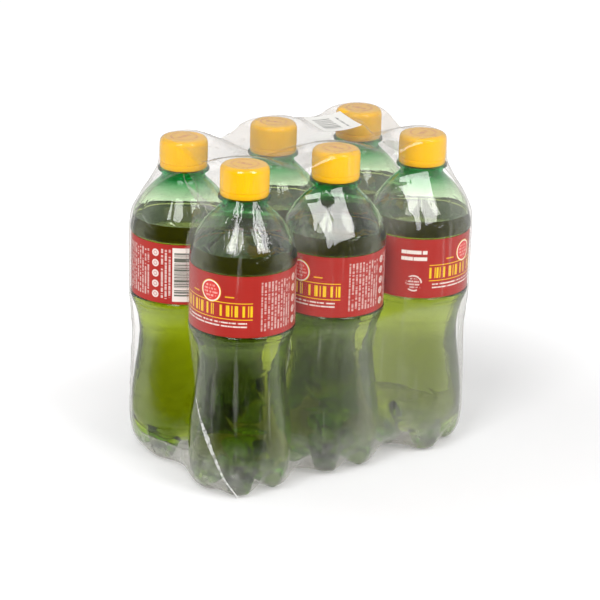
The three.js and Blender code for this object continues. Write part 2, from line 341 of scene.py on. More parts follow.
class Look:
    """A material whose nodes are made by short calls, with sockets or plain values as their inputs."""

    def __init__(self, name):
        self.material = bpy.data.materials.new(name)
        self.material.use_nodes = True
        self.tree = self.material.node_tree
        self.tree.nodes.clear()

    def set(self, socket, value):
        if isinstance(value, bpy.types.NodeSocket):
            self.tree.links.new(value, socket)
        else:
            socket.default_value = value

    def node(self, kind, inputs=None, **settings):
        made = self.tree.nodes.new("ShaderNode" + kind)
        for key, value in settings.items():
            setattr(made, key, value)
        for key, value in (inputs or {}).items():
            self.set(made.inputs[key], value)
        return made

    def math(self, operation, a, b=0.0, c=0.0, clamp=False):
        return self.node("Math", {0: a, 1: b, 2: c}, operation=operation, use_clamp=clamp).outputs[0]

    def mix(self, factor, a, b):
        return self.node("Mix", {0: factor, 6: a, 7: b}, data_type="RGBA").outputs[2]

    def shaders(self, factor, a, b):
        return self.node("MixShader", {0: factor, 1: a, 2: b}).outputs[0]

    def here(self):
        """The point's place about the piece's own origin, and that place's X, Y and Z."""
        place = self.node("TexCoord").outputs["Object"]
        split = self.node("SeparateXYZ", {0: place})
        return place, split.outputs[0], split.outputs[1], split.outputs[2]

    def stretched(self, place, x, y, z):
        return self.node("Mapping", {"Vector": place, "Scale": (x, y, z)}).outputs[0]

    def noise(self, place, scale, detail=2.0, roughness=0.5, dimensions="3D"):
        inputs = {"Vector": place, "Scale": scale, "Detail": detail, "Roughness": roughness}
        return self.node("TexNoise", inputs, noise_dimensions=dimensions).outputs[0]

    def slope(self, value, low, high, kind="LINEAR"):
        """0 where the value is at low and 1 where it is at high."""
        inputs = {"Value": value, "From Min": low, "From Max": high}
        return self.node("MapRange", inputs, interpolation_type=kind).outputs[0]

    def ramp(self, value, low, high):
        return self.slope(value, low, high, "SMOOTHSTEP")

    def times(self, *values):
        product = values[0]
        for value in values[1:]:
            product = self.math("MULTIPLY", product, value)
        return product

    def length(self, a, b):
        return self.math("SQRT", self.math("ADD", self.times(a, a), self.times(b, b)))

    def band(self, value, low, high, soft):
        """1 between low and high, 0 outside, with soft edges."""
        up = self.slope(value, low - soft, low + soft)
        return self.times(up, self.slope(value, high + soft, high - soft))

    def bar_code(self, value, lines):
        """1 on the lines of a bar code, the thinnest of which stand so many to each unit of the value."""
        cell = self.node("CombineXYZ", {0: self.math("FLOOR", self.times(value, lines))}).outputs[0]
        return self.slope(self.noise(cell, 0.9, 0.0, dimensions="2D"), 0.47, 0.5)

    def bump(self, height, strength, distance):
        return self.node("Bump", {"Height": height, "Strength": strength, "Distance": distance}).outputs[0]

    def principled(self, **inputs):
        names = {key.replace("_", " "): value for key, value in inputs.items()}
        return self.node("BsdfPrincipled", names).outputs[0]

    def lets_lamps_through(self, surface, colour):
        """Glass that only dims light on its way to something matt."""
        path = self.node("LightPath").outputs
        away = self.math("MAXIMUM", path["Is Shadow Ray"], path["Is Diffuse Ray"])
        clear = self.node("BsdfTransparent", {"Color": colour}).outputs[0]
        return self.shaders(away, surface, clear)

    def done(self, surface, volume=None):
        output = self.node("OutputMaterial", {"Surface": surface})
        if volume is not None:
            self.set(output.inputs["Volume"], volume)
        return self.material


def rgb(red, green, blue):
    """A colour given as 0 to 255 in sRGB, as the shader's linear numbers."""
    shares = [c / 255 for c in (red, green, blue)]
    linear = [c / 12.92 if c < 0.039 else ((c + 0.055) / 1.055) ** 2.4 for c in shares]
    return (*linear, 1.0)


def pet_look():
    look = Look("pet_green")
    place, _, _, z = look.here()
    cloud = look.noise(place, 60, 3)
    neck = look.ramp(z, 0.174, 0.191)
    thick = look.ramp(z, 0.02, 0.004)
    body = look.mix(cloud, (0.82, 0.94, 0.74, 1), (0.87, 0.96, 0.79, 1))
    tint = look.mix(neck, body, (0.02, 0.42, 0.12, 1))
    tint = look.mix(look.times(thick, 0.6), tint, (0.6, 0.88, 0.62, 1))
    rough = look.math("MULTIPLY_ADD", cloud, 0.05, 0.005)
    ripple = look.bump(look.noise(look.stretched(place, 1, 1, 0.35), 90, 2), 0.12, 0.0008)
    glass = look.principled(
        Base_Color=tint, Roughness=rough, IOR=1.5, Transmission_Weight=1.0, Normal=ripple
    )
    return look.done(look.lets_lamps_through(glass, (0.87, 0.88, 0.87, 1)))


def drink_look():
    look = Look("drink")
    place, _, _, _ = look.here()
    cloud = look.noise(place, 25, 2)
    tint = look.mix(cloud, (0.97, 0.98, 0.93, 1), (1, 1, 0.97, 1))
    liquid = look.principled(Base_Color=tint, Roughness=0.0, IOR=1.33, Transmission_Weight=1.0)
    absorb = look.node("VolumeAbsorption", {"Color": (0.85, 0.853, 0.0, 1), "Density": 105.0})
    return look.done(look.lets_lamps_through(liquid, (1, 1, 1, 1)), absorb.outputs[0])


def cap_look():
    look = Look("cap_yellow")
    place, x, y, z = look.here()
    grain = look.noise(place, 900, 3)
    cloud = look.noise(place, 120, 2)
    colour = look.mix(cloud, rgb(252, 189, 0), rgb(255, 198, 3))
    low = look.ramp(z, 0.2, 0.1955)
    colour = look.mix(look.times(low, 0.35), colour, rgb(240, 176, 0))
    # A worn ring and bar printed on the top
    ring = look.band(look.length(x, y), 0.0078, 0.009, 0.0002)
    bar = look.times(look.band(x, -0.0016, 0.0016, 0.0003), look.band(y, -0.0052, 0.0052, 0.0003))
    worn = look.ramp(look.noise(place, 700, 2), 0.42, 0.6)
    on_top = look.ramp(z, 0.2139, 0.2142)
    printed = look.times(look.math("MAXIMUM", ring, bar), worn, on_top)
    colour = look.mix(look.times(printed, 0.8), colour, rgb(196, 60, 40))
    rough = look.math("MULTIPLY_ADD", cloud, 0.08, 0.09)
    plastic = look.principled(
        Base_Color=colour, Roughness=rough, IOR=1.5, Subsurface_Weight=0.12, Subsurface_Scale=0.003,
        Normal=look.bump(grain, 0.08, 0.0002),
    )
    return look.done(plastic)


def label_look():
    """Red printed film with plain blocks, bars, dashes and rings."""
    look = Look("label_print")
    place, x, y, z = look.here()
    turn = look.times(look.math("ARCTAN2", y, x), 180 / math.pi)
    height = look.times(z, 1000.0)
    white, yellow = rgb(244, 236, 228), rgb(250, 205, 10)
    cloud = look.noise(place, 45, 3)
    colour = look.mix(cloud, rgb(170, 32, 22), rgb(182, 38, 28))

    def box(low_turn, high_turn, low, high, soft=0.12):
        across = look.band(turn, low_turn, high_turn, soft * 1.7)
        return look.times(across, look.band(height, low, high, soft))

    def disc(centre, middle, radius, soft=0.12):
        across = look.times(look.math("SUBTRACT", turn, centre), LABEL_R * math.pi / 180)
        far = look.length(across, look.math("SUBTRACT", height, middle))
        return look.slope(far, radius + soft, radius - soft)

    def stripes(value, pitch, share, offset=0.0):
        """1 on a share of each pitch of the value."""
        cycle = look.math("FRACT", look.math("MULTIPLY_ADD", value, 1 / pitch, offset))
        return look.band(cycle, 0.5 - share / 2, 0.5 + share / 2, 0.06)

    def dashes(along, across, line_pitch, dash_length, gaps):
        """1 on uneven dashes that follow each other along lines, with a pitch across from line to line."""
        line = look.math("FLOOR", look.math("DIVIDE", across, line_pitch))
        place = {0: look.math("DIVIDE", along, dash_length), 1: look.times(line, 7.31)}
        ink = look.noise(look.node("CombineXYZ", place).outputs[0], 1.0, 3.0, 0.7, "2D")
        ink = look.slope(ink, gaps - 0.03, gaps + 0.03)
        return look.times(ink, stripes(across, line_pitch, 0.55))

    def paint(ink, strength, *masks):
        """Lays a colour on where all the masks are 1."""
        nonlocal colour
        colour = look.mix(look.times(*masks, strength), colour, ink)

    # Front, in the middle and again on the far side: a disc over a block of uneven bars
    for middle in (0.0, -150.0):
        low, high = (middle - 47, middle + 47) if middle == 0 else (middle - 27, middle + 30)
        for level in (134.2, 123.6):
            paint(yellow, 1.0, box(low, high, level - 0.25, level + 0.25, 0.1))
        gap = look.math("SUBTRACT", 1.0, box(middle + 4, middle + 8.5, 120, 140))
        bars = look.math("MAXIMUM", stripes(turn, 8.3, 0.3), stripes(turn, 5.9, 0.2, 0.3))
        paint(yellow, 1.0, bars, box(low, high, 125.3, 132.6), gap)
        paint(white, 0.9, dashes(turn, height, 3.0, 2.2, 0.42), box(low + 4, high - 6, 118.4, 121.6))
        for radius, ink in ((7.3, yellow), (6.9, white), (6.15, rgb(224, 48, 42))):
            paint(ink, 1.0, disc(middle, 140.6, radius))
        paint(rgb(250, 190, 180), 0.8, disc(middle, 140.6, 5.0), dashes(turn, height, 2.2, 1.5, 0.5))
        for start in (middle + 17, middle - 27):
            paint(yellow, 0.8, box(start, start + 10, 137.6, 138.4))

    # A column of small upright lines, one of round signs, two more lines and a bar code
    paint(white, 0.48, dashes(height, turn, 4.2, 1.5, 0.46), box(56, 96, 115.5, 147.5))
    paint(white, 0.78, disc_column(look, turn, height, 104.0, 7.0, 2.45), box(98, 110, 114.0, 149.0))
    paint(white, 0.6, dashes(height, turn, 4.4, 1.6, 0.44), box(110, 122, 115.0, 148.5))
    paint(white, 1.0, box(124, 146, 113.6, 149.8))
    paint(rgb(70, 84, 66), 0.9, look.bar_code(height, 2.6), box(126, 144, 117.0, 146.6))

    # Left of the front: two short white lines and a round stamp
    paint(white, 0.95, dashes(turn, height, 4.4, 3.4, 0.37), box(-79, -50, 136.4, 145.2))
    stamp = look.math("SUBTRACT", disc(-64, 121.8, 5.6), disc(-64, 121.8, 4.6))
    paint(white, 0.8, stamp, look.ramp(look.noise(place, 260, 1), 0.4, 0.5))
    paint(white, 0.7, disc(-64, 121.8, 3.9), dashes(turn, height, 2.0, 1.7, 0.45))

    weave = look.noise(look.stretched(place, 1, 1, 0.2), 500, 2)
    rough = look.math("MULTIPLY_ADD", cloud, 0.12, 0.26)
    relief = look.bump(weave, 0.1, 0.0002)
    return look.done(look.principled(Base_Color=colour, Roughness=rough, IOR=1.45, Normal=relief))


def label_back_look():
    look = Look("label_back")
    place, _, _, _ = look.here()
    colour = look.mix(look.noise(place, 80, 3), (0.26, 0.2, 0.012, 1), (0.34, 0.26, 0.018, 1))
    return look.done(look.principled(Base_Color=colour, Roughness=0.45, IOR=1.4))


def disc_column(look, turn, height, middle, pitch, radius):
    """A column of discs with a small dark mark in each."""
    across = look.times(look.math("SUBTRACT", turn, middle), LABEL_R * math.pi / 180)
    cycle = look.math("FRACT", look.math("DIVIDE", look.math("SUBTRACT", height, 114.0), pitch))
    up = look.times(look.math("SUBTRACT", cycle, 0.5), pitch)
    far = look.length(across, up)
    disc = look.slope(far, radius + 0.15, radius - 0.15)
    mark = look.band(far, 0.9, 1.4, 0.15)
    return look.math("SUBTRACT", disc, look.times(mark, 0.6))


def film_look(name="film", milky=0.0):
    """Clear shrink film: mostly see-through, with haze, fine upright creases and gloss. Part of the haze is
    painted shade on the flat top and a painted reflection low on the sides.
    """
    look = Look(name)
    place, x, _, z = look.here()
    folds = look.noise(look.stretched(place, 1, 1, 0.05), 190, 3, 0.55)
    crease = look.ramp(folds, 0.61, 0.7)
    cloud = look.noise(place, 22, 3)
    facing = look.node("LayerWeight", {"Blend": 0.5}).outputs["Facing"]
    edge = look.math("POWER", facing, 4.0)
    up = look.node("SeparateXYZ", {0: look.node("NewGeometry").outputs["Normal"]}).outputs[2]
    up = look.ramp(look.math("ABSOLUTE", up), 0.25, 0.95)
    # The side haze leaves out the height of the labels and is stronger below them and towards the +X end.
    # There it is partly the film's own haze and partly a painted reflection of the bright floor on the
    # bottles' lower bodies.
    free = look.math("SUBTRACT", 1.0, look.band(z, 0.107, 0.1555, 0.004))
    haze_and_painted_reflection = look.math("MULTIPLY_ADD", look.ramp(z, 0.11, 0.105), 0.062, 0.014)
    haze_and_painted_reflection = look.math("MULTIPLY_ADD", look.ramp(x, -0.05, 0.02), haze_and_painted_reflection, 0.002)
    haze_and_painted_reflection = look.times(free, haze_and_painted_reflection)
    haze = look.math("MULTIPLY_ADD", edge, 0.22, milky)
    haze = look.math("ADD", haze, haze_and_painted_reflection)
    flat = look.math("MULTIPLY_ADD", look.ramp(z, 0.2141, 0.2126), 0.085, 0.015)
    haze = look.math("ADD", haze, look.times(up, flat))
    # Near the ground the film is crinkled, and twice as much on the pack's ends
    low = look.ramp(z, 0.044, 0.008)
    ends = look.math("ADD", look.ramp(look.math("ABSOLUTE", x), 0.078, 0.095), 1.0)
    crinkle = look.ramp(look.noise(look.stretched(place, 1, 1, 0.7), 130, 4, 0.6), 0.4, 0.7)
    crinkle = look.times(look.math("MULTIPLY_ADD", crinkle, 0.13, 0.06), ends)
    haze = look.math("ADD", haze, look.times(low, crinkle))
    haze = look.math("ADD", haze, look.times(crease, 0.06))
    haze = look.math("MULTIPLY", haze, look.math("MULTIPLY_ADD", cloud, 0.8, 0.6), clamp=True)
    clear = look.node("BsdfTransparent", {"Color": (0.985, 0.98, 0.975, 1)}).outputs[0]
    # Painted shade: the haze is whitish on upright film and a darker warm grey where the film lies flat, as
    # on the top between the caps
    haze_colour_with_painted_shade = look.mix(up, (0.9, 0.91, 0.86, 1), (0.52, 0.49, 0.45, 1))
    white = look.node("BsdfDiffuse", {"Color": haze_colour_with_painted_shade}).outputs[0]
    through = look.node("BsdfTranslucent", {"Color": haze_colour_with_painted_shade}).outputs[0]
    body = look.shaders(haze, clear, look.shaders(0.5, white, through))
    # Streaks of gloss on the shoulders, strongest at the left corner
    shoulder = look.times(look.ramp(z, 0.158, 0.17), look.ramp(z, 0.2, 0.188))
    corner = look.times(shoulder, look.ramp(x, -0.035, -0.05))
    strong = look.math("MULTIPLY_ADD", corner, 1.4, 0.12)
    height = look.math("ADD", look.noise(place, 55, 2), look.times(folds, strong))
    normal = look.bump(height, 0.4, 0.0012)
    gloss = look.node("BsdfGlossy", {"Color": (1, 1, 1, 1), "Roughness": 0.06, "Normal": normal})
    least = look.math("MULTIPLY_ADD", shoulder, 0.02, 0.022)
    mirror = look.math("MULTIPLY_ADD", look.math("POWER", facing, 5.0), 0.3, least)
    return look.done(look.shaders(mirror, body, gloss.outputs[0]))


def sticker_look():
    look = Look("sticker_paper")
    place, x, y, _ = look.here()
    fibre = look.noise(place, 900, 3)
    colour = look.mix(fibre, rgb(238, 236, 230), rgb(248, 247, 243))
    along, across = look.times(x, 1000.0), look.times(y, 1000.0)
    panel = look.times(look.band(along, -13.0, 12.0, 0.2), look.band(across, -2.5, 9.5, 0.2))
    colour = look.mix(look.times(look.bar_code(along, 1.9), panel, 0.75), colour, rgb(80, 78, 72))
    dash = look.noise(look.node("CombineXYZ", {0: along, 1: 3.0}).outputs[0], 0.8, 2)
    dash = look.slope(dash, 0.42, 0.5)
    line = look.times(look.band(along, -15.0, 14.0, 0.2), look.band(across, -7.6, -6.4, 0.2))
    colour = look.mix(look.times(dash, line, 0.8), colour, rgb(70, 68, 62))
    paper = look.principled(Base_Color=colour, Roughness=0.6, IOR=1.4, Normal=look.bump(fibre, 0.15, 0.0001))
    return look.done(paper)


# Camera, light and floor


def set_camera():
    yaw, pitch, roll = 0.626029, -0.349752, 0.0286841
    forward = np.array([math.cos(pitch) * math.sin(yaw), math.cos(pitch) * math.cos(yaw), math.sin(pitch)])
    right = np.array([math.cos(yaw), -math.sin(yaw), 0])
    up = np.cross(right, forward)
    right_rolled = right * math.cos(roll) + up * math.sin(roll)
    up_rolled = -right * math.sin(roll) + up * math.cos(roll)
    camera = bpy.data.objects.new("camera", bpy.data.cameras.new("camera"))
    camera.data.lens = 137.945
    camera.data.sensor_width = 36
    place = [-0.839, -1.16055, 0.6227]
    rows = np.column_stack([right_rolled, up_rolled, -forward, place])
    camera.matrix_world = Matrix([*rows.tolist(), [0, 0, 0, 1]])
    bpy.context.scene.collection.objects.link(camera)
    bpy.context.scene.camera = camera


def add_light(name, azimuth, elevation, distance, size, power):
    """A softbox that faces the pack. Azimuth is in degrees from +X as seen from above."""
    a, e = math.radians(azimuth), math.radians(elevation)
    way = Vector((math.cos(e) * math.cos(a), math.cos(e) * math.sin(a), math.sin(e)))
    lamp = bpy.data.lights.new(name, "AREA")
    lamp.shape = "RECTANGLE"
    lamp.size, lamp.size_y = size
    lamp.energy = power
    light = bpy.data.objects.new(name, lamp)
    light.location = Vector((0, 0, 0.11)) + way * distance
    light.rotation_euler = way.to_track_quat("Z", "Y").to_euler()
    bpy.context.scene.collection.objects.link(light)


def set_world():
    """A white studio: even for lighting, bright behind the pack and dim in front of it in the gloss."""
    world = bpy.data.worlds.new("studio")
    bpy.context.scene.world = world
    world.use_nodes = True
    nodes, links = world.node_tree.nodes, world.node_tree.links
    nodes.clear()
    path = nodes.new("ShaderNodeLightPath")
    way = nodes.new("ShaderNodeTexCoord").outputs["Generated"]
    back = nodes.new("ShaderNodeVectorMath")
    back.operation = "DOT_PRODUCT"
    links.new(way, back.inputs[0])
    back.inputs[1].default_value = (*AWAY, -0.45)

    def studio(strength, low=None):
        """White light, or light that falls to low in front of the pack."""
        made = nodes.new("ShaderNodeBackground")
        made.inputs["Color"].default_value = (1, 1, 1, 1)
        made.inputs["Strength"].default_value = strength
        if low is not None:
            grade = nodes.new("ShaderNodeMapRange")
            grade.interpolation_type = "SMOOTHSTEP"
            links.new(back.outputs["Value"], grade.inputs["Value"])
            ends = {"From Min": -0.72, "From Max": 0.05, "To Min": low, "To Max": strength}
            for end, value in ends.items():
                grade.inputs[end].default_value = value
            links.new(grade.outputs[0], made.inputs["Strength"])
        return made.outputs[0]

    def instead(surface, ray, other):
        """The surface, with another for one kind of ray."""
        mix = nodes.new("ShaderNodeMixShader")
        links.new(path.outputs[ray], mix.inputs[0])
        links.new(surface, mix.inputs[1])
        links.new(other, mix.inputs[2])
        return mix.outputs[0]

    surface = studio(0.42)
    surface = instead(surface, "Is Glossy Ray", studio(0.75, 0.015))
    surface = instead(surface, "Is Transmission Ray", studio(0.95, 0.03))
    surface = instead(surface, "Is Camera Ray", studio(1.02))
    links.new(surface, nodes.new("ShaderNodeOutputWorld").inputs["Surface"])


def add_floor():
    """Pale paper with painted light and shadow: it glows more away from the pack and less near the pack's
    front right corner, which paints the pack's shadow there. Rays inside glass see the floor in front of the
    pack painted near black, which paints shade into the bottles.
    """
    look = Look("floor")
    place, _, _, _ = look.here()
    cloud = look.noise(place, 3, 2)
    colour = look.mix(cloud, (0.86, 0.86, 0.86, 1), (0.88, 0.88, 0.88, 1))
    # Painted light and shadow: the paper's emission is weakest near a point at the pack's front right corner
    # and grows from 10 to 40 cm away from it
    from_shadow_middle = look.node("VectorMath", {0: place, 1: (-0.075, 0.055, 0)}, operation="ADD").outputs[0]
    far = look.node("VectorMath", {0: from_shadow_middle}, operation="LENGTH").outputs["Value"]
    painted_light_and_shadow = look.math("MULTIPLY_ADD", look.ramp(far, 0.1, 0.4), 0.46, 0.11)
    paper = look.principled(
        Base_Color=colour, Roughness=0.85, Emission_Color=(1, 1, 1, 1), Emission_Strength=painted_light_and_shadow
    )
    steps = np.linspace(-FLOOR_HALF, FLOOR_HALF, 9)
    points = np.array([(x, y, FLOOR_Z) for x in steps for y in steps])
    mesh = bpy.data.meshes.new("floor")
    mesh.from_pydata((points * MM).tolist(), [], grid_faces(9, 9).tolist())
    # Painted shade: rays that passed through glass see the floor in front of the pack as near black, which
    # darkens the bottles
    toward = (-AWAY[0], -AWAY[1], 0)
    front = look.node("VectorMath", {0: place, 1: toward}, operation="DOT_PRODUCT").outputs["Value"]
    inside = look.node("LightPath").outputs["Is Transmission Ray"]
    painted_shade_through_glass = look.times(inside, look.ramp(front, 0.02, 0.14))
    painted_dark_card = look.node("BsdfDiffuse", {"Color": (0.02, 0.02, 0.02, 1)}).outputs[0]
    mesh.materials.append(look.done(look.shaders(painted_shade_through_glass, paper, painted_dark_card)))
    floor = bpy.data.objects.new("floor", mesh)
    bpy.context.scene.collection.objects.link(floor)
    floor.visible_glossy = False


def set_render():
    scene = bpy.context.scene
    scene.view_settings.view_transform = "Standard"
    scene.cycles.max_bounces = 40
    scene.cycles.transmission_bounces = 36
    scene.cycles.glossy_bounces = 6
    scene.cycles.diffuse_bounces = 4
    scene.cycles.transparent_max_bounces = 48
    scene.cycles.use_denoising = True


# Bottles


def place_at(piece, number):
    x, y, facing = BOTTLES[number]
    piece.location = (x * MM, y * MM, 0)
    piece.rotation_euler = (0, 0, math.radians(facing))
    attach(piece, "root")


def print_back(mesh, look):
    """Gives the label's inner faces a look of their own."""
    mesh.materials.append(look)
    inner = [1 if math.hypot(*face.center[:2]) < (LABEL_R + 0.05) * MM else 0 for face in mesh.polygons]
    mesh.polygons.foreach_set("material_index", inner)


def add_bottles():
    kinds = [
        ("wall", "bottle", bottle_skin(), pet_look(), "pet_green", 40),
        ("drink", "drink", drink_skin(), drink_look(), "drink", 40),
        ("label", "label", label_skin(), label_look(), "label", 60),
        ("cap", "cap", cap_skin(), cap_look(), "cap", 40),
    ]
    back = label_back_look()
    for number in BOTTLES:
        for kind, node, shape, look, slot, smooth_below in kinds:
            piece = make_piece(f"bottle_{number}_{kind}", *shape, look, slot, smooth_below)
            place_at(piece, number)
            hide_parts(f"{node}_{number}")
            if kind == "label":
                print_back(piece.data, back)
            if kind == "drink":
                piece.visible_shadow = False
                piece.visible_diffuse = False


# The film, in the pack's own frame

# How far the film lies out from the bottles' axes, against height
REACH = [
    (0, 24.5), (2, 28), (6, 31), (13.5, 33.6), (25, 34.5), (82.4, 32.9), (100, 34.2), (109.7, 35.1),
    (154, 35.1), (160, 34.6), (164.5, 33.7), (170, 31.2), (178, 26.9), (185.5, 22), (190, 19.6),
    (CAP_LOW, 17.2), (200, 16.2), (206, 15.85), (211, 15.65), (213, 15.2), (214, 14.2), (FILM_TOP, 12.6),
]
# How much less the film reaches out halfway between two bottles
DIP = [
    (0, 4), (100, 4), (109.7, 2.6), (154, 3), (164.5, 5.5), (172, 8), (185, 8.5), (190, 7.5),
    (206, 5), (FILM_TOP, 3.5),
]
# The share of the top film's sag that the side takes up
HANG = [(0, 0), (165, 0), (178, 0.1), (185.5, 0.22), (CAP_LOW, 0.42), (206, 0.75), (213, 0.97), (FILM_TOP, 1)]
# The hand hole's outline on the pack's end: how far it lies to the side, and its height
HAND_HOLE = [
    (15, 198), (2, 190.5), (-9, 177), (-21, 157.5), (-25, 125.5), (-30, 84.5), (-38, 47), (-28, 28),
    (-8, 20.5), (18.5, 17.5), (36, 20.5), (42, 41), (42, 92.5), (41, 152.5), (36, 181),
]
STICKER = {"x": 38, "y": 22, "turn": 76, "length": 38, "width": 27}
STICKER_TOP = 215.2
STICKER_THICK = 0.14
FILM_THICK = 0.12
STEP = 1.75


def waves(along, across, pitch, seed):
    """Uneven ridges from 0 to 1 that run across, a pitch apart, and bend and fade as they go."""
    draw = np.random.default_rng(seed)
    total = 0
    for _ in range(3):
        a, b, c = draw.uniform(0, 2 * math.pi, 3)
        bend = 0.9 * np.sin(across / draw.uniform(30, 70) + b)
        bend = bend + 0.5 * np.sin(across / draw.uniform(9, 20) + c)
        ridge = np.abs(np.sin(along * math.pi / (pitch * draw.uniform(0.7, 1.6)) + bend + a))
        here = 0.5 + 0.5 * np.sin(along / draw.uniform(9, 24) + across / draw.uniform(14, 40) + c)
        total = total + (1 - ridge) ** 5 * here
    return np.clip(total, 0, 1)


def sag_at(x, y):
    """How far the top film hangs below the caps."""
    far = np.full(np.broadcast(x, y).shape, 1e9)
    for cx, cy, _ in BOTTLES.values():
        far = np.minimum(far, np.hypot(x - cx, y - cy))
    hollow = 2.2 * np.exp(-(((x + 35) / 16) ** 2) - ((y - 36) / 22) ** 2)
    return 3.6 * smoothstep(far, 14.5, 30) + 6 * smoothstep(far, 20, 50) + hollow


def sticker_height(x, y):
    """The underside of the sticker over points of the pack, with how far each lies outside it."""
    turn = math.radians(STICKER["turn"])
    along = (x - STICKER["x"]) * math.cos(turn) + (y - STICKER["y"]) * math.sin(turn)
    across = (y - STICKER["y"]) * math.cos(turn) - (x - STICKER["x"]) * math.sin(turn)
    past_end = np.maximum(np.abs(along) - STICKER["length"] / 2, 0)
    past_side = np.maximum(np.abs(across) - STICKER["width"] / 2, 0)
    return STICKER_TOP + sticker_lift(along, across), np.hypot(past_end, past_side)


def sticker_lift(along, across):
    """The sticker's slope and its sag to the middle, below STICKER_TOP."""
    half_length, half_width = STICKER["length"] / 2, STICKER["width"] / 2
    sag = 1.5 * (across / half_width) ** 2 + 0.5 * (along / half_length) ** 2
    return -4.6 - 0.02 * along - 0.07 * across + sag


def film_height(x, y):
    """The top film's height. It lies on the caps, hangs between them and is held up flat by the sticker."""
    low = FILM_TOP - sag_at(x, y)
    paper, outside = sticker_height(x, y)
    hold = 1 - smoothstep(outside, 0, 9)
    creases = waves(x * 0.9 + y * 0.45, y - x * 0.5, 11, 5)
    free = smoothstep(FILM_TOP - low, 0.3, 3)
    return (low + 0.55 * creases * free) * (1 - hold) + (paper - FILM_THICK) * hold


def film_stations():
    """Points round the rectangle of the axes, the ways out of it, the shares of the dip and the run."""
    at, out, share = [], [], []
    corners = [(-1, -1), (1, -1), (1, 1), (-1, 1)]
    for i, (sx, sy) in enumerate(corners):
        start = np.array([sx * AXIS_X, sy * AXIS_Y])
        nx, ny = corners[(i + 1) % 4]
        end = np.array([nx * AXIS_X, ny * AXIS_Y])
        length = np.hypot(*(end - start))
        facing = math.radians(90 * i - 90)
        for d in np.arange(0, length + STEP / 2, STEP):
            at.append(start + (end - start) * d / length)
            out.append((math.cos(facing), math.sin(facing)))
            share.append(math.sin(math.pi * d / PITCH) ** 2)
        for turn in np.radians(np.arange(3, 90, 3)):
            at.append(end)
            out.append((math.cos(facing + turn), math.sin(facing + turn)))
            share.append(0)
    at, out, share = np.array(at), np.array(out), np.array(share)
    reached = at + out * PITCH / 2
    run = np.r_[0, np.cumsum(np.hypot(*np.diff(reached, axis=0).T))]
    return at, out, share, run


def near_foot(x, y):
    """1 where a foot of a bottle stands right under a point, falling to 0 away from the feet."""
    near = np.zeros(np.shape(x))
    for cx, cy, facing in BOTTLES.values():
        for k in range(FEET):
            turn = math.radians(facing + FOOT_TURN + 360 / FEET * k)
            fx, fy = cx + FOOT_OUT * math.cos(turn), cy + FOOT_OUT * math.sin(turn)
            near = np.maximum(near, np.exp(-((x - fx) ** 2 + (y - fy) ** 2) / 13**2))
    return near


def film_side():
    at, out, share, run = film_stations()
    z = np.r_[
        np.arange(0, 30, 1.4), np.arange(30, 156, 2.1), np.arange(156, 210, 1.5),
        np.arange(210, 215, 0.7), FILM_TOP,
    ][:, None]
    creases = waves(run, z, 9, 3)
    shoulder = np.exp(-(((z - 176) / 16) ** 2))
    below = 1 - smoothstep(z, 98, 112)
    lift = 0.6 * creases * (0.2 + 0.8 * np.clip(shoulder + below, 0, 1)) * smoothstep(z, 0, 12)
    lift = lift * (1 - smoothstep(z, 205, 212))
    low = 1 - smoothstep(z, 0, 27)
    off_foot = 1 - near_foot(at[:, 0] + out[:, 0] * 25, at[:, 1] + out[:, 1] * 25)
    off_foot = off_foot * (1 - 0.7 * np.abs(out[:, 0]) ** 3)
    reach = smooth_through(REACH, z) - smooth_through(DIP, z) * share + lift - 6 * off_foot * low
    x = at[:, 0] + out[:, 0] * reach
    y = at[:, 1] + out[:, 1] * reach
    raised = 9 * off_foot**1.3 * low
    top = np.minimum(film_height(x, y), FILM_TOP)
    height = z + raised - smooth_through(HANG, z) * (FILM_TOP - top)
    return np.stack([x, y, height + 0 * x], -1)


def film_sheet():
    """Points and faces of the film's outer side: the side rings, the top and the underside."""
    side = film_side()
    at = film_stations()[0]
    shares = np.linspace(1, 0, 9)[1:, None, None]
    inward = at + (side[-1, :, :2] - at) * shares
    top_rings = np.concatenate([inward, film_height(inward[..., 0], inward[..., 1])[..., None]], -1)
    under = at + (side[0, :, :2] - at) * shares
    rise = side[0, :, 2] * shares[..., 0] ** 2
    under_rings = np.concatenate([under, rise[..., None]], -1)[::-1]
    rings = np.vstack([under_rings, side, top_rings])
    points, faces = skin(rings)
    xs, ys = np.arange(-AXIS_X, AXIS_X + 1, STEP), np.arange(-AXIS_Y, AXIS_Y + 1, STEP)
    gx, gy = np.meshgrid(xs, ys, indexing="ij")
    rows, columns = gx.shape
    for height, upward in ((film_height(gx, gy), True), (0 * gx, False)):
        first = len(points)
        points = np.vstack([points, np.stack([gx, gy, height], -1).reshape(-1, 3)])
        quads = first + grid_faces(rows, columns)
        faces += (quads if upward else quads[:, ::-1]).tolist()
    return merge_close(points, faces)


def merge_close(points, faces):
    """Points that lie in one place made one, and the faces that this leaves whole."""
    keys = np.round(points * 500).astype(int)
    _, first, where = np.unique(keys, axis=0, return_index=True, return_inverse=True)
    where = where.reshape(-1)
    merged = []
    for face in faces:
        corners = [int(where[v]) for v in face]
        corners = [v for k, v in enumerate(corners) if v != corners[k - 1]]
        if len(set(corners)) == len(corners) > 2:
            merged.append(corners)
    return points[first], merged


def inside_curve(points, outline):
    """True for the 2-D points that lie inside a closed outline."""
    inside = np.zeros(len(points), bool)
    for (ax, ay), (bx, by) in zip(outline, np.roll(outline, -1, 0)):
        between = (ay > points[:, 1]) != (by > points[:, 1])
        cross = ax + (points[:, 1] - ay) * (bx - ax) / (by - ay if by != ay else 1e-9)
        inside ^= between & (points[:, 0] < cross)
    return inside


